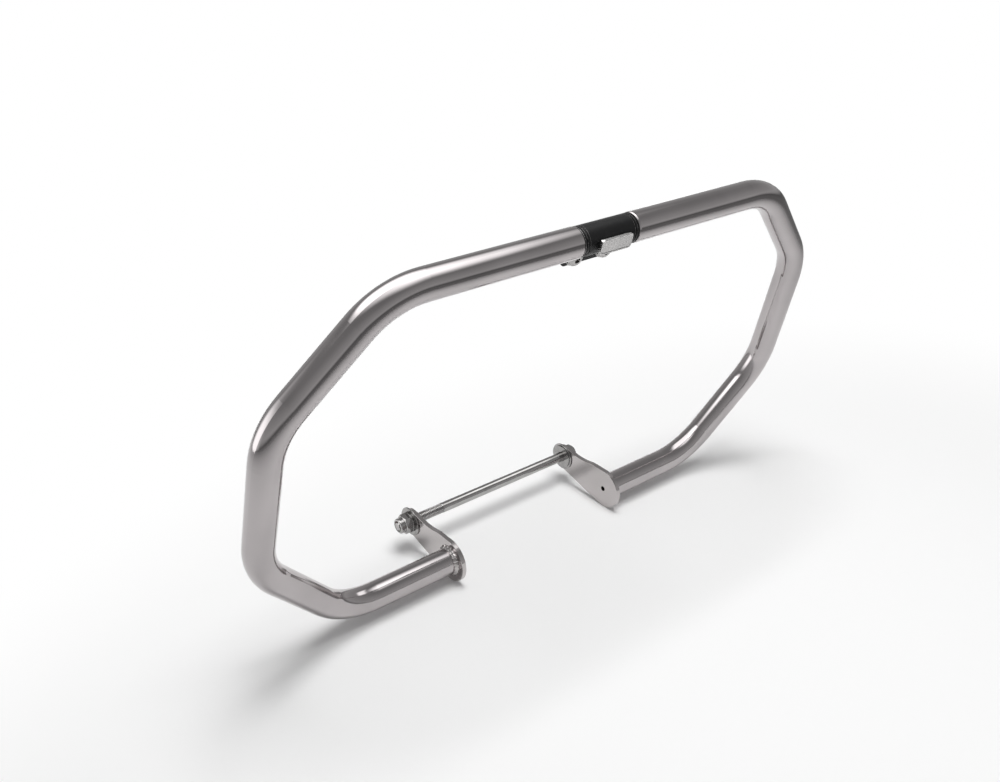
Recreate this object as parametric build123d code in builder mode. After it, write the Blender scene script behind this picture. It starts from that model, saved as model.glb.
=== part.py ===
# Motorcycle crash bars: an eight-sided tube hoop on two lug plates, with a through bolt and a frame bracket.
# -Y is the motorcycle's front, +X the rider's left, +Z up, and the origin is the middle of the bolt's axis.
from build123d import *
from math import asin, atan2, cos, hypot, radians, sin, tan
import os

# Hoop tube, with its corners as half widths and as heights above the foot up the leaning plane
tube_diameter = 25.4
tube_wall = 2.0
hoop_lean = 14.1
bend_radius = 70.0
foot_half_width = 213.6
belly_half_width = 294.6
belly_height = 98.7
hip_half_width = 286.9
hip_height = 232.7
shoulder_half_width = 199.6
shoulder_height = 323.4
foot_ahead_of_bolt = 62.7
foot_below_bolt = 9.7
joint_chamfer = 0.9

# Joint in the middle of the top bar
sleeve_length = 58.8
sleeve_step = 0.3
sleeve_end_chamfer = 0.5
groove_width = 0.8
groove_depth = 0.5
groove_pitch = 2.6
groove_inset = 2.0
joiner_clearance = 0.1
joiner_wall = 3.0
joiner_insertion = 30.0
pin_diameter = 5.0
pin_clearance = 0.05
pin_wall = 1.0
pin_slot = 1.0
pin_recess = 0.4
pin_from_sleeve = 15.0
pin_angle = 60.0

# Lug plates
lug_spacing = 190.5
lug_thickness = 4.5
lug_margin = 8.0
lug_bolt_end_radius = 13.0
lug_bolt_end_drop = 1.2
lug_dip = 2.4
lug_dip_radius = 70.0
lug_dip_share = 0.6
lug_dip_blend = 30.0
lug_edge_break = 0.3
vent_diameter = 5.3
weld_leg = 3.6
weld_crown = 0.4

# Through bolt, washers and lock nut
bolt_diameter = 10.0
bolt_hole_clearance = 0.25
thread_length = 52.0
thread_relief = 0.1
thread_gap = 0.05
bolt_tip_stand_out = 0.6
bolt_tip_chamfer = 1.2
head_across_flats = 16.0
head_height = 6.0
washer_diameter = 20.0
washer_thickness = 2.0
washer_edge_break = 0.3
wide_washer_diameter = 28.5
wide_washer_thickness = 1.5
spacer_diameter = 24.5
spacer_thickness = 1.0
nut_across_flats = 17.0
nut_hex_height = 6.5
nut_height = 11.5
nut_collar_diameter = 15.0
nut_collar_round = 1.4
nut_lip = 0.8
nut_mouth_gap = 0.6
insert_height = 2.6
insert_thickness = 1.2
hex_face_share = 0.97
hex_corner_angle = 30.0

# Frame bracket behind the top bar, with its two domed socket bolts
bracket_lean = 20.0
neck_width = 20.0
neck_above_bar = 3.0
bracket_thickness = 5.0
bracket_bite = 2.0
bracket_width = 55.0
wing_height = 16.0
wing_drop = 23.0
wing_corner = 5.0
slot_gap = 0.3
frame_bolt_diameter = 8.0
frame_bolt_spacing = 32.0
frame_bolt_clearance = 0.3
frame_bolt_stand_out = 18.0
frame_bolt_bare_shank = 1.0
frame_thread_relief = 0.2
frame_bolt_tip_chamfer = 1.0
dome_diameter = 14.0
dome_height = 4.4
dome_round = 3.6
socket_across_flats = 5.0
socket_depth = 2.6
frame_washer_diameter = 16.0
frame_washer_thickness = 1.6

# Tube and joint sizes that follow
tube_radius = tube_diameter / 2
joiner_radius = tube_radius - tube_wall - joiner_clearance
sleeve_radius = tube_radius - sleeve_step
sleeve_half = sleeve_length / 2
joiner_half = sleeve_half + joiner_insertion
pin_radius = pin_diameter / 2
pin_tilt = radians(pin_angle)
lean = radians(hoop_lean)
foot_y = -foot_ahead_of_bolt
foot_z = -foot_below_bolt
bar_y = foot_y - shoulder_height * sin(lean)
bar_z = foot_z + shoulder_height * cos(lean)
hoop_plane = Plane(origin=(0, foot_y, foot_z), x_dir=(1, 0, 0), z_dir=(0, -cos(lean), -sin(lean)))

# Lug and bolt sizes that follow, with each stack's ends along X
bolt_radius = bolt_diameter / 2
bolt_hole_radius = bolt_radius + bolt_hole_clearance
thread_radius = bolt_radius - thread_relief
nut_bore_radius = thread_radius + thread_gap
lug_inner = lug_spacing / 2
lug_outer = lug_inner + lug_thickness
lug_foot_radius = tube_radius + lug_margin
head_seat = lug_outer + washer_thickness
nut_washer_seat = lug_outer + wide_washer_thickness
nut_seat = nut_washer_seat + washer_thickness
bolt_tip = nut_seat + nut_height + bolt_tip_stand_out
spacer_seat = lug_inner - wide_washer_thickness
insert_seat = nut_height - nut_lip - insert_height

# Bracket sizes that follow: its plane stands on the top bar's axis, local y down the frame and local z back
back_angle = radians(bracket_lean)
bracket_plane = Plane(origin=(0, bar_y, bar_z), x_dir=(1, 0, 0), z_dir=(0, cos(back_angle), sin(back_angle)))
bracket_front = joiner_radius - bracket_bite
neck_below_bar = wing_drop + wing_height / 2
frame_thread_radius = frame_bolt_diameter / 2 - frame_thread_relief
frame_hole_radius = frame_bolt_diameter / 2 + frame_bolt_clearance
dome_seat = bracket_front - frame_washer_thickness
frame_shank_length = frame_washer_thickness + bracket_thickness + frame_bolt_bare_shank
frame_thread_length = frame_bolt_stand_out - frame_bolt_bare_shank

os.makedirs("parts", exist_ok=True)


# A washer that grows from the plane, with its outer corners broken
def flat_washer(plane, diameter, hole_radius, thickness):
    with BuildPart() as washer:
        with BuildSketch(plane):
            Circle(diameter / 2)
            Circle(hole_radius, mode=Mode.SUBTRACT)
        extrude(amount=thickness)
        rims = washer.edges().filter_by(GeomType.CIRCLE).group_by(SortBy.RADIUS)[-1]
        chamfer(rims, washer_edge_break)
    return washer


# A hexagon that grows from the plane, with the corners of its far face cut to a cone
def bevelled_hexagon(plane, across_flats, height):
    face_radius = hex_face_share * across_flats / 2
    with BuildPart() as block:
        with BuildSketch(plane):
            RegularPolygon(across_flats / 2, 6, major_radius=False)
        extrude(amount=height)
        with Locations(plane):
            Cone(
                face_radius + height / tan(radians(hex_corner_angle)),
                face_radius,
                height,
                align=(Align.CENTER, Align.CENTER, Align.MIN),
                mode=Mode.INTERSECT,
            )
    return block


# A domed socket bolt whose head grows from the plane and whose thread runs back from it
def socket_bolt(plane):
    bolt_axis = Axis(plane.origin, plane.z_dir)
    with BuildPart() as bolt:
        with BuildSketch(plane):
            Circle(dome_diameter / 2)
        extrude(amount=dome_height)
        fillet(bolt.edges().sort_by(bolt_axis)[-1], dome_round)
        with BuildSketch(plane.offset(dome_height)):
            RegularPolygon(socket_across_flats / 2, 6, major_radius=False)
        extrude(amount=-socket_depth, mode=Mode.SUBTRACT)
        with BuildSketch(plane):
            Circle(frame_bolt_diameter / 2)
        extrude(amount=-frame_shank_length)
        with BuildSketch(plane.offset(-frame_shank_length)):
            Circle(frame_thread_radius)
        extrude(amount=-frame_thread_length)
        chamfer(bolt.edges().sort_by(bolt_axis)[0], frame_bolt_tip_chamfer)
    return bolt


# A frame bolt's plane at a depth behind the top bar's axis, facing the front
def frame_bolt_plane(side, depth):
    seat = bracket_plane.from_local_coords((side * frame_bolt_spacing / 2, wing_drop, depth))
    return Plane(origin=seat, x_dir=(1, 0, 0), z_dir=-bracket_plane.z_dir)


# The joiner pins' plane on the top bar's axis, facing back and down
def pin_plane(side):
    place = side * (sleeve_half + pin_from_sleeve)
    return Plane(origin=(place, bar_y, bar_z), x_dir=(1, 0, 0), z_dir=(0, cos(pin_tilt), -sin(pin_tilt)))


# Rider's right half of the hoop: one tube from the lug plate to the joint, with four bends
with BuildPart() as right_hoop_tube:
    with BuildLine(hoop_plane) as right_run:
        FilletPolyline(
            (-lug_outer, 0),
            (-foot_half_width, 0),
            (-belly_half_width, belly_height),
            (-hip_half_width, hip_height),
            (-shoulder_half_width, shoulder_height),
            (-sleeve_half, shoulder_height),
            radius=bend_radius,
        )
    with BuildSketch(Plane(origin=right_run.line @ 0, z_dir=right_run.line % 0)):
        Circle(tube_radius)
        Circle(tube_radius - tube_wall, mode=Mode.SUBTRACT)
    sweep()
    joint_rims = right_hoop_tube.edges().filter_by(GeomType.CIRCLE).group_by(Axis.X)[-1]
    chamfer(joint_rims.sort_by(SortBy.RADIUS)[-1], joint_chamfer)
    with BuildSketch(pin_plane(-1)):
        Circle(pin_radius + pin_clearance)
    extrude(amount=tube_diameter, mode=Mode.SUBTRACT)
right_hoop_tube.part.label = "right_hoop_tube"

with BuildPart() as left_hoop_tube:
    mirror(right_hoop_tube.part, about=Plane.YZ)
left_hoop_tube.part.label = "left_hoop_tube"

# Thick tube that slides into both halves and carries the joint
with BuildPart() as joiner_tube:
    with BuildSketch(Plane.YZ.offset(-joiner_half)):
        with Locations((bar_y, bar_z)):
            Circle(joiner_radius)
            Circle(joiner_radius - joiner_wall, mode=Mode.SUBTRACT)
    extrude(amount=2 * joiner_half)
    with BuildSketch(pin_plane(-1), pin_plane(1)):
        Circle(pin_radius + pin_clearance)
    extrude(amount=tube_diameter, mode=Mode.SUBTRACT)
joiner_tube.part.label = "joiner_tube"

# Rolled spring pins, one through the wall of each half into the joiner
with BuildPart() as joiner_pins:
    for side in (-1, 1):
        with BuildSketch(pin_plane(side).offset(joiner_radius - joiner_wall)):
            Circle(pin_radius)
            Circle(pin_radius - pin_wall, mode=Mode.SUBTRACT)
            with Locations((-side * pin_radius, 0)):
                Rectangle(pin_diameter, pin_slot, mode=Mode.SUBTRACT)
        extrude(amount=joiner_wall + joiner_clearance + tube_wall - pin_recess)
joiner_pins.part.label = "joiner_pins"

# Black sleeve over the joiner between the halves, grooved near its ends, with a slot for the bracket's neck
with BuildPart() as joint_sleeve:
    with BuildSketch(Plane.YZ.offset(-sleeve_half)):
        with Locations((bar_y, bar_z)):
            Circle(sleeve_radius)
            Circle(joiner_radius + joiner_clearance, mode=Mode.SUBTRACT)
    extrude(amount=sleeve_length)
    sleeve_ends = joint_sleeve.edges().filter_by(GeomType.CIRCLE).group_by(SortBy.RADIUS)[-1]
    chamfer(sleeve_ends, sleeve_end_chamfer)
    for side in (-1, 1):
        for turn in range(2):
            groove_centre = side * (sleeve_half - groove_inset - groove_width / 2 - turn * groove_pitch)
            with BuildSketch(Plane.YZ.offset(groove_centre)):
                with Locations((bar_y, bar_z)):
                    Circle(sleeve_radius + sleeve_step)
                    Circle(sleeve_radius - groove_depth, mode=Mode.SUBTRACT)
            extrude(amount=groove_width / 2, both=True, mode=Mode.SUBTRACT)
    with BuildSketch(bracket_plane.offset(bracket_front - slot_gap)):
        with Locations((0, sleeve_radius - neck_above_bar - slot_gap)):
            Rectangle(neck_width + 2 * slot_gap, 2 * sleeve_radius)
    extrude(amount=tube_diameter, mode=Mode.SUBTRACT)
joint_sleeve.part.label = "joint_sleeve"

# Rider's right lug plate: a teardrop round the tube's end, dipped on top, with a vent hole into the tube
lug_rise = -lug_bolt_end_drop - foot_z
lug_reach = hypot(foot_y, lug_rise)
lug_taper = asin((lug_foot_radius - lug_bolt_end_radius) / lug_reach)
lug_edge_angle = atan2(lug_rise, -foot_y) - lug_taper
lug_edge_length = lug_reach * cos(lug_taper)
dip_along = lug_dip_share * lug_edge_length
dip_above = lug_foot_radius - lug_dip + lug_dip_radius
dip_centre = (
    foot_y + dip_along * cos(lug_edge_angle) - dip_above * sin(lug_edge_angle),
    foot_z + dip_along * sin(lug_edge_angle) + dip_above * cos(lug_edge_angle),
)
with BuildPart() as right_lug_plate:
    with BuildSketch(Plane.YZ.offset(-lug_outer)) as lug_outline:
        with Locations((foot_y, foot_z)):
            Circle(lug_foot_radius)
        with Locations((0, -lug_bolt_end_drop)):
            Circle(lug_bolt_end_radius)
        make_hull()
        with Locations(dip_centre):
            Circle(lug_dip_radius, mode=Mode.SUBTRACT)
        dip_corners = lug_outline.vertices().sort_by_distance(dip_centre)[:2]
        fillet(dip_corners, lug_dip_blend)
        Circle(bolt_hole_radius, mode=Mode.SUBTRACT)
        with Locations((foot_y, foot_z)):
            Circle(vent_diameter / 2, mode=Mode.SUBTRACT)
    extrude(amount=lug_thickness)
    for face in right_lug_plate.faces().filter_by(Axis.X):
        chamfer(face.outer_wire().edges(), lug_edge_break)
right_lug_plate.part.label = "right_lug_plate"

with BuildPart() as left_lug_plate:
    mirror(right_lug_plate.part, about=Plane.YZ)
left_lug_plate.part.label = "left_lug_plate"

# Fillet weld all round the tube's end, on the plate's outer face
with BuildPart() as right_weld_bead:
    foot_axis = Axis((-lug_outer, foot_y, foot_z), (-1, 0, 0))
    with BuildSketch(Plane(origin=foot_axis.position, x_dir=(-1, 0, 0), z_dir=(0, 1, 0))):
        with BuildLine():
            crown = weld_leg / 2 + weld_crown
            Polyline((weld_leg, tube_radius), (0, tube_radius), (0, tube_radius + weld_leg))
            ThreePointArc((0, tube_radius + weld_leg), (crown, tube_radius + crown), (weld_leg, tube_radius))
        make_face()
    revolve(axis=foot_axis)
right_weld_bead.part.label = "right_weld_bead"

with BuildPart() as left_weld_bead:
    mirror(right_weld_bead.part, about=Plane.YZ)
left_weld_bead.part.label = "left_weld_bead"

# Long bolt through both lugs, with its head on the rider's left
hexagon_head = bevelled_hexagon(Plane.YZ.offset(head_seat), head_across_flats, head_height)
with BuildPart() as through_bolt:
    with BuildSketch(Plane.YZ.offset(-bolt_tip)):
        Circle(thread_radius)
    extrude(amount=thread_length)
    chamfer(through_bolt.edges().group_by(Axis.X)[0], bolt_tip_chamfer)
    with BuildSketch(Plane.YZ.offset(thread_length - bolt_tip)):
        Circle(bolt_radius)
    extrude(amount=head_seat + bolt_tip - thread_length)
    add(hexagon_head.part)
through_bolt.part.label = "through_bolt"

bolt_head_washer = flat_washer(
    Plane.YZ.offset(lug_outer), washer_diameter, bolt_hole_radius, washer_thickness
)
bolt_head_washer.part.label = "bolt_head_washer"

left_inner_washer = flat_washer(
    Plane.YZ.offset(spacer_seat), wide_washer_diameter, bolt_hole_radius, wide_washer_thickness
)
left_inner_washer.part.label = "left_inner_washer"

left_inner_spacer = flat_washer(
    Plane.YZ.offset(spacer_seat - spacer_thickness), spacer_diameter, bolt_hole_radius, spacer_thickness
)
left_inner_spacer.part.label = "left_inner_spacer"

right_outer_washer = flat_washer(
    Plane.YZ.offset(-nut_washer_seat), wide_washer_diameter, bolt_hole_radius, wide_washer_thickness
)
right_outer_washer.part.label = "right_outer_washer"

lock_nut_washer = flat_washer(Plane.YZ.offset(-nut_seat), washer_diameter, bolt_hole_radius, washer_thickness)
lock_nut_washer.part.label = "lock_nut_washer"

# Lock nut: a hexagon with a round collar that holds a nylon ring under its rolled lip
nut_plane = Plane(origin=(-nut_seat, 0, 0), x_dir=(0, 1, 0), z_dir=(-1, 0, 0))
nut_hexagon = bevelled_hexagon(nut_plane, nut_across_flats, nut_hex_height)
with BuildPart() as lock_nut:
    with BuildSketch(nut_plane):
        Circle(nut_collar_diameter / 2)
    extrude(amount=nut_height)
    fillet(lock_nut.edges().group_by(Axis.X)[0], nut_collar_round)
    add(nut_hexagon.part)
    with BuildSketch(nut_plane):
        Circle(nut_bore_radius)
    extrude(amount=nut_height, mode=Mode.SUBTRACT)
    with BuildSketch(nut_plane.offset(insert_seat)):
        Circle(nut_bore_radius + insert_thickness)
    extrude(amount=insert_height, mode=Mode.SUBTRACT)
    with BuildSketch(nut_plane.offset(insert_seat + insert_height)):
        Circle(nut_bore_radius + nut_mouth_gap)
    extrude(amount=nut_lip, mode=Mode.SUBTRACT)
lock_nut.part.label = "lock_nut"

with BuildPart() as lock_nut_insert:
    with BuildSketch(nut_plane.offset(insert_seat)):
        Circle(nut_bore_radius + insert_thickness)
        Circle(nut_bore_radius, mode=Mode.SUBTRACT)
    extrude(amount=insert_height)
lock_nut_insert.part.label = "lock_nut_insert"

# Welded bracket: a neck cut to the joiner's round, and a wide wing below the bar for the frame bolts
with BuildPart() as frame_bracket:
    with BuildSketch(bracket_plane.offset(bracket_front)) as bracket_outline:
        with Locations((0, (neck_below_bar - neck_above_bar) / 2)):
            Rectangle(neck_width, neck_above_bar + neck_below_bar)
        with Locations((0, wing_drop)):
            Rectangle(bracket_width, wing_height)
        fillet(bracket_outline.vertices().group_by(Axis.X)[0], wing_corner)
        fillet(bracket_outline.vertices().group_by(Axis.X)[-1], wing_corner)
        with Locations((-frame_bolt_spacing / 2, wing_drop), (frame_bolt_spacing / 2, wing_drop)):
            Circle(frame_hole_radius, mode=Mode.SUBTRACT)
    extrude(amount=bracket_thickness)
    with BuildSketch(Plane.YZ):
        with Locations((bar_y, bar_z)):
            Circle(joiner_radius)
    extrude(amount=neck_width, both=True, mode=Mode.SUBTRACT)
frame_bracket.part.label = "frame_bracket"

# A plain washer under each frame bolt's head
with BuildPart() as frame_washers:
    for side in (-1, 1):
        washer_plane = frame_bolt_plane(side, bracket_front)
        add(flat_washer(washer_plane, frame_washer_diameter, frame_hole_radius, frame_washer_thickness).part)
frame_washers.part.label = "frame_washers"

# Frame bolts put in from the front, with their threads standing out of the bracket's back
with BuildPart() as frame_bolts:
    for side in (-1, 1):
        add(socket_bolt(frame_bolt_plane(side, dome_seat)).part)
frame_bolts.part.label = "frame_bolts"

export_step(right_hoop_tube.part, "parts/right_hoop_tube.step")
export_step(left_hoop_tube.part, "parts/left_hoop_tube.step")
export_step(joiner_tube.part, "parts/joiner_tube.step")
export_step(joiner_pins.part, "parts/joiner_pins.step")
export_step(joint_sleeve.part, "parts/joint_sleeve.step")
export_step(right_lug_plate.part, "parts/right_lug_plate.step")
export_step(left_lug_plate.part, "parts/left_lug_plate.step")
export_step(right_weld_bead.part, "parts/right_weld_bead.step")
export_step(left_weld_bead.part, "parts/left_weld_bead.step")
export_step(through_bolt.part, "parts/through_bolt.step")
export_step(bolt_head_washer.part, "parts/bolt_head_washer.step")
export_step(left_inner_washer.part, "parts/left_inner_washer.step")
export_step(left_inner_spacer.part, "parts/left_inner_spacer.step")
export_step(right_outer_washer.part, "parts/right_outer_washer.step")
export_step(lock_nut_washer.part, "parts/lock_nut_washer.step")
export_step(lock_nut.part, "parts/lock_nut.step")
export_step(lock_nut_insert.part, "parts/lock_nut_insert.step")
export_step(frame_bracket.part, "parts/frame_bracket.step")
export_step(frame_washers.part, "parts/frame_washers.step")
export_step(frame_bolts.part, "parts/frame_bolts.step")
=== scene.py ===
# Motorcycle crash bars in a pale studio: polished tube hoop, lug plates, through bolt and frame bracket
import bmesh
import bpy
from math import atan2, cos, pi, radians, sin
from mathutils import Matrix, Vector


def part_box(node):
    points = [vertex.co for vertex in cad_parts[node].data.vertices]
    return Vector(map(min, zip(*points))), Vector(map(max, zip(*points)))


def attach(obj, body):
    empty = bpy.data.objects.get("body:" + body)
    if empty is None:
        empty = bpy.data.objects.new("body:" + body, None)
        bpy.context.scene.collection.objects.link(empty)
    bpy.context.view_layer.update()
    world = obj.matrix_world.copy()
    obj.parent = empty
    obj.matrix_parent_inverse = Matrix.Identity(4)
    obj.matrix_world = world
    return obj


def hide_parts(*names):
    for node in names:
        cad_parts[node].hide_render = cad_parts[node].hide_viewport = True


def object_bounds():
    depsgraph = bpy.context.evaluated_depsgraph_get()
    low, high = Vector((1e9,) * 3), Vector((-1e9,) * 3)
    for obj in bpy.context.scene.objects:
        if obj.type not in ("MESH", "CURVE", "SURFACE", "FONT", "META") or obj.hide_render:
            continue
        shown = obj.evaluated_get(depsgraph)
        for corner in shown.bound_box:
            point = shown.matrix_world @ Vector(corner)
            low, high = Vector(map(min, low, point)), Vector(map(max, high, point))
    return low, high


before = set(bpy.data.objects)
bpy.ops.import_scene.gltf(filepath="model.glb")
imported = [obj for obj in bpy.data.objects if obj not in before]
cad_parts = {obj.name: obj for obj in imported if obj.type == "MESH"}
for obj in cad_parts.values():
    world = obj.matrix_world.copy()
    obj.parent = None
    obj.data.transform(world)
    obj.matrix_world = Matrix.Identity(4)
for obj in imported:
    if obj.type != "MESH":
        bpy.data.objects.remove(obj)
cadLow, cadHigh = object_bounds()
print("frame loaded with", len(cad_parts), "nodes")


# Camera at the photograph's viewing angle
cameraSpot = {
    "place": (-0.53475, -0.68622, 0.56096),
    "lookDown": 27.46,
    "turn": -38.43,
    "lens": 36.48,
    "sensor": 36.0,
    "nearClip": 0.01,
}


def placeCamera(spot):
    data = bpy.data.cameras.new("studioCamera")
    data.lens = spot["lens"]
    data.sensor_width = spot["sensor"]
    data.clip_start = spot["nearClip"]
    camera = bpy.data.objects.new("studioCamera", data)
    camera.location = spot["place"]
    camera.rotation_euler = (radians(90 - spot["lookDown"]), 0, radians(spot["turn"]))
    bpy.context.scene.collection.objects.link(camera)
    bpy.context.scene.camera = camera


placeCamera(cameraSpot)
bpy.context.scene.view_settings.view_transform = "Standard"
print("camera placed")


# Shader kit: a wire is a node's output, and arithmetic on wires adds Math nodes
class Wire:
    def __init__(self, tree, socket):
        self.tree = tree
        self.socket = socket

    def math(self, operation, *terms):
        return self.tree.add("ShaderNodeMath", {"operation": operation}, dict(enumerate(terms)))

    def __add__(self, other):
        return self.math("ADD", self, other)

    def __sub__(self, other):
        return self.math("SUBTRACT", self, other)

    def __rsub__(self, other):
        return self.math("SUBTRACT", other, self)

    def __mul__(self, other):
        return self.math("MULTIPLY", self, other)

    def __abs__(self):
        return self.math("ABSOLUTE", self)

    __radd__ = __add__
    __rmul__ = __mul__


class NodeTree:
    def __init__(self, owner):
        owner.use_nodes = True
        self.nodes = owner.node_tree.nodes
        self.links = owner.node_tree.links
        self.nodes.clear()

    # one node: its type, its settings, then values or wires for its inputs
    def add(self, kind, settings, inputs, output=0):
        node = self.nodes.new(kind)
        for name, value in settings.items():
            if name == "stops":
                self.setStops(node.color_ramp, value)
            else:
                setattr(node, name, value)
        for name, value in inputs.items():
            if isinstance(value, Wire):
                self.links.new(value.socket, node.inputs[name])
            else:
                node.inputs[name].default_value = value
        return Wire(self, node.outputs[output]) if node.outputs else node

    def setStops(self, ramp, stops):
        ramp.elements[0].position = stops[0][0]
        ramp.elements[1].position = stops[-1][0]
        for place, colour in stops[1:-1]:
            ramp.elements.new(place)
        for element, (place, colour) in zip(ramp.elements, stops):
            element.color = (*colour, 1)

    # the piece's own coordinates in metres, stretched and turned
    def spot(self, stretch=(1, 1, 1), turn=(0, 0, 0)):
        place = self.add("ShaderNodeTexCoord", {}, {}, "Object")
        return self.add("ShaderNodeMapping", {}, {"Vector": place, "Scale": stretch, "Rotation": turn})

    # one coordinate of a place
    def only(self, place, axis):
        return self.add("ShaderNodeSeparateXYZ", {}, {"Vector": place}, axis)

    def noise(self, place, scale, detail, rough=0.5):
        return self.add("ShaderNodeTexNoise", {},
                        {"Vector": place, "Scale": scale, "Detail": detail, "Roughness": rough})

    def cells(self, place, scale):
        return self.add("ShaderNodeTexVoronoi", {}, {"Vector": place, "Scale": scale})

    # moves a range of values to 0..1 with soft ends
    def step(self, value, low, high):
        return self.add("ShaderNodeMapRange", {"interpolation_type": "SMOOTHSTEP"},
                        {"Value": value, "From Min": low, "From Max": high})

    # rays that look at the surface, straight, mirrored or through glass, and the mirrored ones alone
    def rays(self):
        names = ("Is Camera Ray", "Is Glossy Ray", "Is Transmission Ray")
        seen, mirrored, through = [self.add("ShaderNodeLightPath", {}, {}, name) for name in names]
        looking = seen + mirrored + through
        return looking.math("MINIMUM", looking, 1.0), mirrored

    def blend(self, share, first, second):
        return self.add("ShaderNodeMix", {"data_type": "RGBA"}, {0: share, 6: first, 7: second}, 2)

    def mixShader(self, share, first, second):
        return self.add("ShaderNodeMixShader", {}, {0: share, 1: first, 2: second})

    def bump(self, height, depth, under=None):
        inputs = {"Height": height, "Distance": depth, "Strength": 1.0}
        if under:
            inputs["Normal"] = under
        return self.add("ShaderNodeBump", {}, inputs)

    def show(self, shader, output="ShaderNodeOutputMaterial"):
        self.add(output, {}, {"Surface": shader})

    def surface(self, inputs):
        self.show(self.add("ShaderNodeBsdfPrincipled", {}, inputs))


plainWhite = (1, 1, 1, 1)


def shade(colour, share):
    return (*[c * share for c in colour], 1)


# Polished and machined metals: a clear tone, hand smudges, fine lines left by the wheel and small pits
metals = {
    "polishedTube": {
        "colour": (0.472, 0.445, 0.448), "toneSpread": 0.06, "toneScale": 14,
        "rough": 0.085, "smudge": 0.05, "smudgeScale": 32,
        "lineStretch": (60, 1400, 1400), "lineTurn": 0, "lineDepth": 0.0000015,
        "pitScale": 420, "pitShare": 0.06, "pitDepth": 0.000006,
    },
    "polishedPlate": {
        "colour": (0.50, 0.475, 0.472), "toneSpread": 0.05, "toneScale": 22,
        "rough": 0.13, "smudge": 0.07, "smudgeScale": 60,
        "lineStretch": (900, 110, 1500), "lineTurn": -35, "lineDepth": 0.000003,
        "pitScale": 500, "pitShare": 0.07, "pitDepth": 0.000006,
    },
    "plainSteel": {
        "colour": (0.42, 0.42, 0.42), "toneSpread": 0.10, "toneScale": 40,
        "rough": 0.30, "smudge": 0.10, "smudgeScale": 90,
        "lineStretch": (1600, 90, 90), "lineTurn": 0, "lineDepth": 0.000006,
        "pitScale": 600, "pitShare": 0.10, "pitDepth": 0.000008,
    },
    "weldMetal": {
        "colour": (0.47, 0.45, 0.445), "toneSpread": 0.14, "toneScale": 160,
        "rough": 0.16, "smudge": 0.10, "smudgeScale": 300,
        "lineStretch": (500, 500, 500), "lineTurn": 0, "lineDepth": 0.000030,
        "pitScale": 700, "pitShare": 0.12, "pitDepth": 0.000020,
    },
    "brightZinc": {
        "colour": (0.44, 0.43, 0.425), "toneSpread": 0.06, "toneScale": 120,
        "rough": 0.10, "smudge": 0.05, "smudgeScale": 260,
        "lineStretch": (160, 1500, 1500), "lineTurn": 0, "lineDepth": 0.0000012,
        "pitScale": 900, "pitShare": 0.05, "pitDepth": 0.000004,
    },
    "dullZinc": {
        "colour": (0.335, 0.33, 0.325), "toneSpread": 0.10, "toneScale": 150,
        "rough": 0.17, "smudge": 0.08, "smudgeScale": 260,
        "lineStretch": (160, 1500, 1500), "lineTurn": 0, "lineDepth": 0.0000012,
        "pitScale": 900, "pitShare": 0.05, "pitDepth": 0.000004,
    },
    "blackOxide": {
        "colour": (0.030, 0.030, 0.031), "toneSpread": 0.25, "toneScale": 70,
        "rough": 0.38, "smudge": 0.12, "smudgeScale": 120,
        "lineStretch": (700, 700, 700), "lineTurn": 0, "lineDepth": 0.000010,
        "pitScale": 800, "pitShare": 0.14, "pitDepth": 0.000010,
    },
    "badgeMetal": {
        "colour": (0.60, 0.59, 0.585), "toneSpread": 0.05, "toneScale": 90,
        "rough": 0.24, "smudge": 0.06, "smudgeScale": 160,
        "lineStretch": (90, 1800, 1800), "lineTurn": 0, "lineDepth": 0.0000015,
        "pitScale": 900, "pitShare": 0.04, "pitDepth": 0.000003,
    },
}
# what all the metals share: the grain of each pattern, and how much pits and lines show
metalGrain = {
    "toneDetail": 3.0, "toneRange": (0.3, 0.7),
    "smudgeDetail": 5.0, "smudgeGrain": 0.62, "smudgeRange": (0.42, 0.72),
    "lineDetail": 3.0, "lineGrain": 0.6, "lineRough": 0.02,
    "pitCover": 0.5, "pitShade": 0.45, "pitRough": 0.15,
}


def metalFinish(name, look, grain):
    material = bpy.data.materials.new(name)
    tree = NodeTree(material)
    place = tree.spot()
    tone = tree.noise(place, look["toneScale"], grain["toneDetail"])
    smudge = tree.noise(place, look["smudgeScale"], grain["smudgeDetail"], grain["smudgeGrain"])
    alongLines = tree.spot(look["lineStretch"], (radians(look["lineTurn"]), 0, 0))
    lines = tree.noise(alongLines, 1.0, grain["lineDetail"], grain["lineGrain"])
    pits = 1 - tree.step(tree.cells(place, look["pitScale"]), 0.0, look["pitShare"])
    low = shade(look["colour"], 1 - look["toneSpread"])
    high = shade(look["colour"], 1 + look["toneSpread"])
    colour = tree.blend(tree.step(tone, *grain["toneRange"]), low, high)
    colour = tree.blend(pits * grain["pitCover"], colour, shade(look["colour"], grain["pitShade"]))
    rough = look["rough"] + tree.step(smudge, *grain["smudgeRange"]) * look["smudge"]
    rough = rough + pits * grain["pitRough"] + lines * grain["lineRough"]
    normal = tree.bump(1 - pits, look["pitDepth"], tree.bump(lines, look["lineDepth"]))
    tree.surface({"Base Color": colour, "Metallic": 1.0, "Roughness": rough, "Normal": normal})
    return material


finishes = {name: metalFinish(name, look, metalGrain) for name, look in metals.items()}


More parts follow.
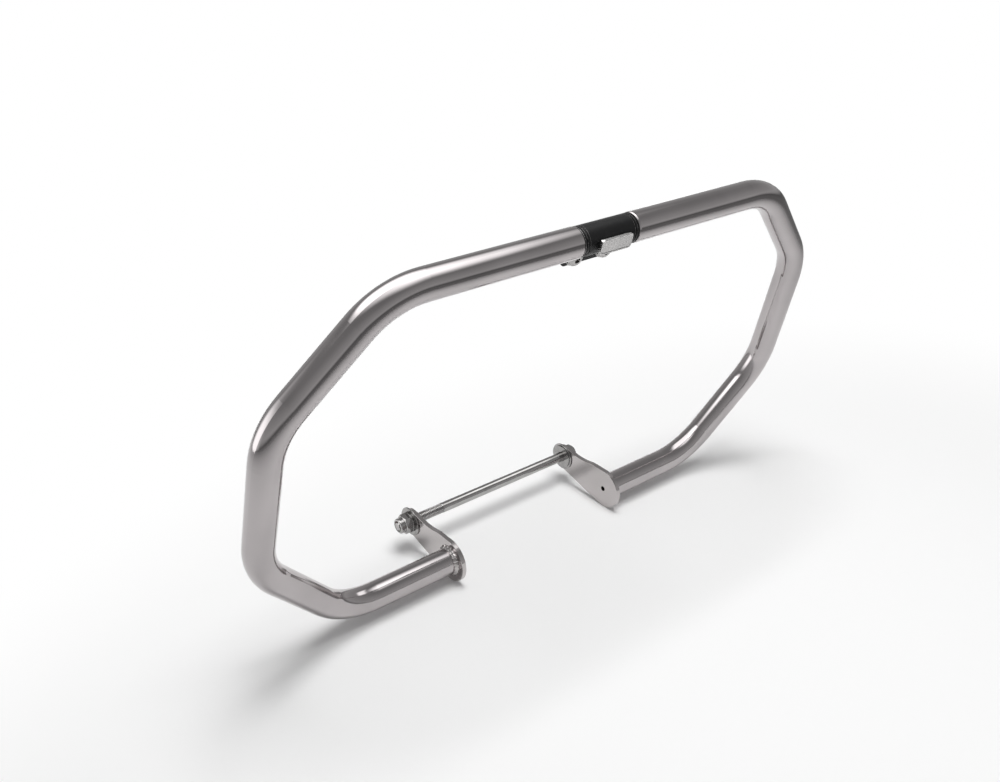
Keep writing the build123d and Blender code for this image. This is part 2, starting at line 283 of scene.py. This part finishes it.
# Satin black on the sleeve: a fine orange peel, rubbed lighter in places, with a painted highlight at the
# groove edges
sleeveLook = {
    "colour": (0.006, 0.006, 0.0065), "rough": 0.36, "shine": 0.28,
    "peelScale": 1100, "peelDetail": 2.0, "peelDepth": 0.000008,
    "rubbed": (0.012, 0.012, 0.0125), "rubScale": 60, "rubDetail": 5.0, "rubGrain": 0.65,
    "rubRange": (0.45, 0.75), "rubRough": 0.10,
    "speck": (0.05, 0.05, 0.05), "speckScale": 900, "speckShare": 0.05,
    "speckCover": 0.3, "speckRough": 0.1,
    # painted highlight at the groove edges: its light grey, the rings where it lies, how fast it fades,
    # and the noise that breaks it up
    "paintedHighlight": (0.30, 0.29, 0.29), "highlightRings": (0.0239, 0.0265, 0.0289), "highlightFade": (0.00011, 0.00022),
    "highlightBreakScale": 180, "highlightBreakDetail": 3.0, "highlightBreakRange": (0.30, 0.55),
}


def sleeveFinish(look):
    material = bpy.data.materials.new("satinBlack")
    tree = NodeTree(material)
    place = tree.spot()
    peel = tree.noise(place, look["peelScale"], look["peelDetail"])
    rubbed = tree.noise(place, look["rubScale"], look["rubDetail"], look["rubGrain"])
    rubbed = tree.step(rubbed, *look["rubRange"])
    specks = 1 - tree.step(tree.cells(place, look["speckScale"]), 0.0, look["speckShare"])
    colour = tree.blend(rubbed, (*look["colour"], 1), (*look["rubbed"], 1))
    colour = tree.blend(specks * look["speckCover"], colour, (*look["speck"], 1))
    # painted highlight: light grey, metal-like rings at the groove edges where light would catch them,
    # broken up by noise
    fromMiddle = abs(tree.only(place, "X"))
    paintedHighlight = sum(1 - tree.step(abs(fromMiddle - ring), *look["highlightFade"]) for ring in look["highlightRings"])
    paintedHighlight = paintedHighlight * tree.step(tree.noise(place, look["highlightBreakScale"], look["highlightBreakDetail"]), *look["highlightBreakRange"])
    colour = tree.blend(paintedHighlight, colour, (*look["paintedHighlight"], 1))
    rough = look["rough"] + rubbed * look["rubRough"] + specks * look["speckRough"]
    tree.surface({
        "Base Color": colour,
        "Roughness": rough,
        "Metallic": paintedHighlight,
        "Specular IOR Level": look["shine"],
        "Normal": tree.bump(peel, look["peelDepth"]),
    })
    return material


finishes["satinBlack"] = sleeveFinish(sleeveLook)


# Natural nylon in the lock nut: a milky skin with a fine mottle
nylonLook = {
    "colour": (0.60, 0.60, 0.56), "pale": (0.72, 0.72, 0.68), "rough": 0.36,
    "clear": 0.15, "clearDepth": 0.001,
    "grainScale": 1300, "grainDetail": 3.0, "grainDepth": 0.000012,
    "mottleSize": 12, "mottleDetail": 4.0, "mottleRange": (0.35, 0.7), "mottleRough": 0.08,
}


def nylonFinish(look):
    material = bpy.data.materials.new("naturalNylon")
    tree = NodeTree(material)
    place = tree.spot()
    grain = tree.noise(place, look["grainScale"], look["grainDetail"])
    mottle = tree.noise(place, look["grainScale"] / look["mottleSize"], look["mottleDetail"])
    mottle = tree.step(mottle, *look["mottleRange"])
    tree.surface({
        "Base Color": tree.blend(mottle, (*look["colour"], 1), (*look["pale"], 1)),
        "Roughness": look["rough"] + mottle * look["mottleRough"],
        "Subsurface Weight": look["clear"],
        "Subsurface Scale": look["clearDepth"],
        "Normal": tree.bump(grain, look["grainDepth"]),
    })
    return material


finishes["naturalNylon"] = nylonFinish(nylonLook)
print("finishes ready:", len(finishes))


# Which finish each part wears
dress = {
    "right_hoop_tube": "polishedTube",
    "left_hoop_tube": "polishedTube",
    "joiner_tube": "plainSteel",
    "joiner_pins": "plainSteel",
    "joint_sleeve": "satinBlack",
    "right_lug_plate": "polishedPlate",
    "left_lug_plate": "polishedPlate",
    "right_weld_bead": "weldMetal",
    "left_weld_bead": "weldMetal",
    "through_bolt": "brightZinc",
    "bolt_head_washer": "dullZinc",
    "left_inner_washer": "dullZinc",
    "left_inner_spacer": "dullZinc",
    "right_outer_washer": "dullZinc",
    "lock_nut_washer": "dullZinc",
    "lock_nut": "brightZinc",
    "lock_nut_insert": "naturalNylon",
    "frame_bracket": "blackOxide",
    "frame_washers": "dullZinc",
    "frame_bolts": "brightZinc",
}


def wear(piece, finish):
    if not piece.material_slots:
        piece.data.materials.append(None)
    for place in piece.material_slots:
        place.material = finishes[finish]


for name, finish in dress.items():
    wear(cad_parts[name], finish)
print("parts dressed:", len(dress))


# Helpers for new pieces
mergeWithin = 0.000001


def makeObject(name, mesh):
    data = bpy.data.meshes.new(name)
    mesh.to_mesh(data)
    mesh.free()
    made = bpy.data.objects.new(name, data)
    bpy.context.scene.collection.objects.link(made)
    return made


def keepPiece(name, mesh, finish, node=None):
    piece = makeObject(name, mesh)
    wear(piece, finish)
    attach(piece, "root")
    if node:
        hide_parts(node)
    return piece


def copyNode(node):
    mesh = bmesh.new()
    mesh.from_mesh(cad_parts[node].data)
    bmesh.ops.remove_doubles(mesh, verts=mesh.verts, dist=mergeWithin)
    return mesh


# The form that all threads share
threadForm = {
    "turnSteps": 20, "rootHalf": 0.46, "crestShare": 0.22, "rootSink": 0.0002,
    "shoulder": 0.5,  # share of the run-out where a rod starts to be turned down
    "within": 1.2,  # share of the crest that is still rod, and not the bolt's head
    "cutWithin": 0.0000001,
}


# Winds one thread profile round a rod by a spin that also travels, then sets it on the rod's own axis
def windThread(mesh, length, values, form, place):
    before = set(mesh.verts)
    half = values["pitch"] * form["rootHalf"]
    top = half * form["crestShare"]
    root = values["core"] - form["rootSink"]
    profile = [(-half, root), (-top, values["crest"]), (top, values["crest"]), (half, root)]
    face = mesh.faces.new([mesh.verts.new((x, 0, r)) for x, r in profile])
    turns = length / values["pitch"]
    steps = int(turns * form["turnSteps"])
    bmesh.ops.spin(mesh, geom=[face, *face.edges, *face.verts], cent=(0, 0, 0), axis=(1, 0, 0),
                   dvec=(length / steps, 0, 0), angle=2 * pi * turns, steps=steps, use_merge=False)
    ridge = [v for v in mesh.verts if v not in before]
    bmesh.ops.transform(mesh, matrix=place, verts=ridge)


# Turns a rod down to its thread's core between two places along its axis, with a short run-out
def turnDown(mesh, start, way, reach, values, form):
    for along in (0, values["runOut"], reach):
        bmesh.ops.bisect_plane(mesh, geom=[*mesh.verts, *mesh.edges, *mesh.faces], dist=form["cutWithin"],
                               plane_co=start + way * along, plane_no=way)
    for vert in mesh.verts:
        along = (vert.co - start).dot(way)
        axisPoint = start + way * along
        out = vert.co - axisPoint
        onRod = values["core"] < out.length < values["crest"] * form["within"]
        if along > values["runOut"] * form["shoulder"] and onRod:
            vert.co = axisPoint + out * (values["core"] / out.length)


# The bolt keeps its head and shank, and its thread is wound over a thinner core
boltThread = {"from": -0.0632, "runOut": 0.0012, "startShort": 0.3, "tip": 0.0014,
              "pitch": 0.0015, "crest": 0.00488, "core": 0.00412}


def threadedBolt(values, form):
    mesh = copyNode("through_bolt")
    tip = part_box("through_bolt")[0].x
    start = Vector((values["from"], 0, 0))
    reach = values["from"] - tip - values["tip"]
    turnDown(mesh, start, Vector((-1, 0, 0)), reach, values, form)
    atTip = Matrix.Translation((tip + values["tip"], 0, 0))
    windThread(mesh, reach - values["runOut"] * values["startShort"], values, form, atTip)
    bmesh.ops.recalc_face_normals(mesh, faces=mesh.faces)
    keepPiece("threaded_through_bolt", mesh, "brightZinc", "through_bolt")


threadedBolt(boltThread, threadForm)


# The two frame bolts get the same thread behind the bracket
frameThread = {"lean": 20.0, "spacing": 0.032, "bare": 0.0015, "standOut": 0.018, "runOut": 0.0008,
               "tip": 0.0011, "pitch": 0.00125, "crest": 0.00389, "core": 0.0033}


def threadedFrameBolts(values, form):
    mesh = copyNode("frame_bolts")
    way = Vector((0, cos(radians(values["lean"])), sin(radians(values["lean"]))))
    low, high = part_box("frame_washers")
    middle = (low + high) / 2
    tip = max(vert.co.dot(way) for vert in mesh.verts) - middle.dot(way)
    start = middle + way * (tip - values["standOut"] + values["bare"])
    reach = values["standOut"] - values["bare"] - values["tip"]
    alongBolt = Matrix.Rotation(radians(values["lean"]), 4, "X") @ Matrix.Rotation(radians(90), 4, "Z")
    for side in (-0.5, 0.5):
        foot = start + Vector((side * values["spacing"], 0, 0))
        turnDown(mesh, foot, way, reach, values, form)
        pastRunOut = Matrix.Translation(foot + way * values["runOut"]) @ alongBolt
        windThread(mesh, reach - values["runOut"], values, form, pastRunOut)
    bmesh.ops.recalc_face_normals(mesh, faces=mesh.faces)
    keepPiece("threaded_frame_bolts", mesh, "brightZinc", "frame_bolts")


threadedFrameBolts(frameThread, threadForm)
print("bolts threaded")


# Weld beads: the fillet's profile spun round the tube, then heaped into overlapping ripples
weldBead = {
    "tube": 0.0127, "sink": 0.0003, "toe": 0.0003,
    "brow": (0.22, 0.985), "slope": [(0.55, 0.62), (0.82, 0.3)],
    "ripples": 21, "stepsEach": 12, "heap": 0.34, "heapCurve": 0.7, "heapPull": 0.6,
    "wander": 0.30, "wanderWaves": (0.9, 0.37), "keepUnder": 0.0001,
}


def rippledBead(side, values):
    node = side + "_weld_bead"
    low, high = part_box(node)
    centre = (low + high) / 2
    inner = values["tube"] - values["sink"]
    outer = (high.z - low.z) / 2
    plate, toe = (high.x, low.x) if side == "right" else (low.x, high.x)
    leg = toe - plate
    browPlace, browShare = values["brow"]
    slope = [(share, inner + (outer - inner) * height) for share, height in values["slope"]]
    profile = [(0.0, outer), (browPlace, outer * browShare), *slope,
               (1.0, inner + values["toe"]), (1.0, inner), (0.0, inner)]
    mesh = bmesh.new()
    ring = [mesh.verts.new((plate + leg * share, centre.y, centre.z + r)) for share, r in profile]
    edges = [mesh.edges.new((ring[i], ring[(i + 1) % len(ring)])) for i in range(len(ring))]
    bmesh.ops.spin(mesh, geom=[*ring, *edges], cent=centre, axis=(1, 0, 0), angle=2 * pi,
                   steps=values["ripples"] * values["stepsEach"], use_merge=True)
    bmesh.ops.remove_doubles(mesh, verts=mesh.verts, dist=mergeWithin)
    slow, slower = values["wanderWaves"]
    for vert in mesh.verts:
        across = vert.co.yz - centre.yz
        turn = atan2(across.y, across.x) / (2 * pi) * values["ripples"]
        ripple = (turn % 1.0) ** values["heapCurve"]
        drift = 0.5 + 0.5 * sin(turn * slow) * cos(turn * slower)
        lump = values["heap"] * (1 - ripple) + values["wander"] * drift
        reach = across.length - inner
        if reach > values["keepUnder"]:
            across.length = inner + reach * (1 - lump)
            vert.co.yz = centre.yz + across
            vert.co.x = plate + (vert.co.x - plate) * (1 - lump * values["heapPull"])
    bmesh.ops.recalc_face_normals(mesh, faces=mesh.faces)
    for face in mesh.faces:
        face.smooth = True
    keepPiece(side + "_rippled_weld", mesh, "weldMetal", node)


for side in ("right", "left"):
    rippledBead(side, weldBead)
print("weld beads rippled")


# A bare badge plate with a raised rim, standing on a foot that meets the front of the sleeve
badgePlate = {
    "width": 0.033, "height": 0.013, "thick": 0.0018, "corner": 0.0028, "cornerSteps": 5,
    "lean": 14.1, "stand": 0.0144, "shift": 0.0005, "lift": 0.0006,
    "rim": 0.0011, "wall": 0.0003, "sink": 0.0003, "footInset": 0.0016, "footDepth": 0.0024,
    "edgeRound": 0.0003, "edgeSteps": 3, "edgeAngle": 40.0,
}


def barePlate(values):
    low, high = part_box("joint_sleeve")
    mesh = bmesh.new()
    bmesh.ops.create_grid(mesh, x_segments=1, y_segments=1, size=0.5)
    bmesh.ops.scale(mesh, verts=mesh.verts, vec=(values["width"], values["height"], 1))
    bmesh.ops.bevel(mesh, geom=mesh.verts[:], offset=values["corner"], affect="VERTICES",
                    segments=values["cornerSteps"], profile=0.5, material=-1)
    back = mesh.faces[:]
    raised = bmesh.ops.extrude_face_region(mesh, geom=back, use_keep_orig=True)["geom"]
    front = [g for g in raised if isinstance(g, bmesh.types.BMFace)]
    raisedVerts = [g for g in raised if isinstance(g, bmesh.types.BMVert)]
    bmesh.ops.translate(mesh, verts=raisedVerts, vec=(0, 0, values["thick"]))
    bmesh.ops.inset_region(mesh, faces=front, thickness=values["rim"], use_even_offset=True)
    bmesh.ops.inset_region(mesh, faces=front, thickness=values["wall"], depth=-values["sink"],
                           use_even_offset=True)
    bmesh.ops.inset_region(mesh, faces=back, thickness=values["footInset"], use_even_offset=True)
    foot = bmesh.ops.extrude_discrete_faces(mesh, faces=back)["faces"]
    bmesh.ops.translate(mesh, verts=foot[0].verts, vec=(0, 0, -values["footDepth"]))
    bmesh.ops.remove_doubles(mesh, verts=mesh.verts, dist=mergeWithin)
    bmesh.ops.recalc_face_normals(mesh, faces=mesh.faces)
    leaned = Matrix.Rotation(radians(90 + values["lean"]), 4, "X")
    spot = (low + high) / 2 + leaned @ Vector((values["shift"], values["lift"], values["stand"]))
    bmesh.ops.transform(mesh, matrix=Matrix.Translation(spot) @ leaned, verts=mesh.verts)
    piece = keepPiece("bare_badge_plate", mesh, "badgeMetal")
    roundOff = piece.modifiers.new("edgeRound", "BEVEL")
    roundOff.width = values["edgeRound"]
    roundOff.segments = values["edgeSteps"]
    roundOff.limit_method = "ANGLE"
    roundOff.angle_limit = radians(values["edgeAngle"])


barePlate(badgePlate)
print("badge plate made")


# Studio: a white floor that keeps the shadow, under a compact overhead lamp that shiny surfaces don't see
floorLook = {
    "radius": 1.7, "steps": 128, "centre": (0.05, 0.1),
    "colour": (1.0, 1.0, 1.0), "bounceColour": (0.72, 0.72, 0.72),
    "whiteCentre": (-0.15, -0.55), "whiteTurn": 28.5, "whiteStretch": (1.4, 1.0, 1.0),
    "whiteRange": (0.47, 0.78), "clearCentre": (0.032, 0.375), "clearRange": (0.54, 1.46),
}
lampLook = {"place": (0.1, -0.264, 2.0), "size": (0.98, 1.25), "glow": 8.0}
# the grey room that the metal shows: its tilt, and its grey by how high a direction looks
roomLook = {
    "reach": 12.0, "steps": 4, "tilt": (-0.109, 0.010, 1.0),
    "greys": [(-1.0, 0.18), (-0.25, 0.176), (-0.12, 0.128), (-0.04, 0.397), (0.03, 0.483), (0.15, 0.42),
              (0.35, 0.367), (0.6, 0.268), (1.0, 0.223)],
}
# soft cards that only shiny surfaces see: each side's place and how far it fades
cards = {
    "overhead_card": {"place": (0.0, 0.0, 0.786), "tip": 0.0, "turn": -35.2, "glow": 3.3,
                      "wide": (-0.623, 0.271, 0.307, 0.476), "deep": (-0.362, 0.604, 0.197, 0.575)},
    "side_card": {"place": (-1.0246, 0.4953, 0.0), "tip": 90.0, "turn": 64.2, "glow": 2.128,
                  "wide": (-0.3705, 0.511, 0.3705, 0.511), "deep": (-0.031, 0.002, 0.639, 0.655)},
    "low_card": {"place": (0.19, 0.04, 0.3), "tip": 0.0, "turn": 0.0, "glow": 2.0,
                 "wide": (-0.09, 0.06, 0.095, 0.06), "deep": (-0.16, 0.06, 0.07, 0.06)},
}


def keepStage(name, mesh, material):
    stage = makeObject(name, mesh)
    stage.data.materials.append(material)
    return stage


# only shiny surfaces see this
def hideFromRest(stage):
    stage.visible_camera = False
    stage.visible_diffuse = False
    stage.visible_shadow = False


# The floor turns plain white away from the object, and clear for mirrored rays that reach it further back
def makeFloor(look):
    mesh = bmesh.new()
    bmesh.ops.create_circle(mesh, cap_ends=True, radius=look["radius"], segments=look["steps"])
    bmesh.ops.translate(mesh, verts=mesh.verts, vec=(*look["centre"], cadLow.z))
    material = bpy.data.materials.new("paleFloor")
    tree = NodeTree(material)
    place = tree.spot()
    fromPool = tree.add("ShaderNodeMapping", {"vector_type": "TEXTURE"},
                        {"Vector": place, "Location": (*look["whiteCentre"], cadLow.z),
                         "Rotation": (0, 0, radians(look["whiteTurn"])), "Scale": look["whiteStretch"]})
    toWhite = tree.add("ShaderNodeVectorMath", {"operation": "LENGTH"}, {0: fromPool}, "Value")
    toClear = tree.add("ShaderNodeVectorMath", {"operation": "DISTANCE"},
                       {0: place, 1: (*look["clearCentre"], cadLow.z)}, "Value")
    looked, mirrored = tree.rays()
    colour = tree.blend(looked, (*look["bounceColour"], 1), (*look["colour"], 1))
    matt = tree.add("ShaderNodeBsdfDiffuse", {}, {"Color": colour, "Roughness": 0.0})
    white = tree.add("ShaderNodeEmission", {}, {"Color": plainWhite, "Strength": 1.0})
    clear = tree.add("ShaderNodeBsdfTransparent", {}, {"Color": plainWhite})
    farWhite = tree.step(toWhite, *look["whiteRange"]) * (looked - mirrored)
    farClear = tree.step(toClear, *look["clearRange"]) * mirrored
    tree.show(tree.mixShader(farClear, tree.mixShader(farWhite, matt, white), clear))
    keepStage("studio_floor", mesh, material)


# the grey of the room in one direction
def roomGrey(tree, way, look):
    height = tree.add("ShaderNodeVectorMath", {"operation": "DOT_PRODUCT"},
                      {0: way, 1: look["tilt"]}, "Value")
    stops = [(place * 0.5 + 0.5, (grey, grey, grey)) for place, grey in look["greys"]]
    return tree.add("ShaderNodeValToRGB", {"stops": stops}, {"Fac": height * 0.5 + 0.5})


# The world is white to every ray that looks, and lights dull surfaces as the grey room does
def makeWorld(look):
    world = bpy.data.worlds.new("studioWorld")
    bpy.context.scene.world = world
    tree = NodeTree(world)
    grey = roomGrey(tree, tree.add("ShaderNodeTexCoord", {}, {}, "Generated"), look)
    room = tree.add("ShaderNodeBackground", {}, {"Color": grey, "Strength": 1.0})
    white = tree.add("ShaderNodeBackground", {}, {"Color": plainWhite, "Strength": 1.0})
    tree.show(tree.mixShader(tree.rays()[0], room, white), "ShaderNodeOutputWorld")


# Grey screens all round, out of the camera's sight, that give the polished metal its contrast
def makeScreens(look):
    mesh = bmesh.new()
    bmesh.ops.create_icosphere(mesh, subdivisions=look["steps"], radius=look["reach"])
    material = bpy.data.materials.new("greyScreen")
    tree = NodeTree(material)
    way = tree.add("ShaderNodeVectorMath", {"operation": "NORMALIZE"}, {0: tree.spot()})
    tree.show(tree.add("ShaderNodeEmission", {}, {"Color": roomGrey(tree, way, look), "Strength": 1.0}))
    hideFromRest(keepStage("studio_screens", mesh, material))


def makeLamp(look):
    width, depth = look["size"]
    data = bpy.data.lights.new("overheadLight", "AREA")
    data.shape = "RECTANGLE"
    data.size = width
    data.size_y = depth
    data.energy = look["glow"] * pi * width * depth
    lamp = bpy.data.objects.new("overheadLight", data)
    lamp.location = look["place"]
    lamp.visible_camera = False
    lamp.visible_glossy = False
    bpy.context.scene.collection.objects.link(lamp)


def makeCard(name, look):
    left, leftFade, right, rightFade = look["wide"]
    near, nearFade, far, farFade = look["deep"]
    turned = Matrix.Translation(look["place"]) @ Matrix.Rotation(radians(look["turn"]), 4, "Z")
    turned = turned @ Matrix.Rotation(radians(look["tip"]), 4, "X")
    mesh = bmesh.new()
    bmesh.ops.create_grid(mesh, x_segments=1, y_segments=1, size=0.5)
    across = right - left + (leftFade + rightFade) / 2
    along = far - near + (nearFade + farFade) / 2
    bmesh.ops.scale(mesh, verts=mesh.verts, vec=(across, along, 1))
    middleX = (left + right) / 2 + (rightFade - leftFade) / 4
    middleY = (near + far) / 2 + (farFade - nearFade) / 4
    bmesh.ops.translate(mesh, verts=mesh.verts, vec=(middleX, middleY, 0))
    bmesh.ops.transform(mesh, matrix=turned, verts=mesh.verts)
    material = bpy.data.materials.new(name + "_glow")
    tree = NodeTree(material)
    place = tree.add("ShaderNodeTexCoord", {}, {}, "Object")
    place = tree.add("ShaderNodeMapping", {"vector_type": "TEXTURE"},
                     {"Vector": place, "Location": look["place"], "Rotation": turned.to_euler()})
    x, y = tree.only(place, "X"), tree.only(place, "Y")
    share = tree.step(x, left - leftFade / 2, left + leftFade / 2)
    share = share * tree.step(right - x, -rightFade / 2, rightFade / 2)
    share = share * tree.step(y, near - nearFade / 2, near + nearFade / 2)
    share = share * tree.step(far - y, -farFade / 2, farFade / 2)
    glow = tree.add("ShaderNodeEmission", {}, {"Color": plainWhite, "Strength": look["glow"]})
    clear = tree.add("ShaderNodeBsdfTransparent", {}, {"Color": plainWhite})
    tree.show(tree.mixShader(share, clear, glow))
    hideFromRest(keepStage(name, mesh, material))


makeFloor(floorLook)
makeWorld(roomLook)
makeScreens(roomLook)
makeLamp(lampLook)
for name, look in cards.items():
    makeCard(name, look)
print("studio lit")
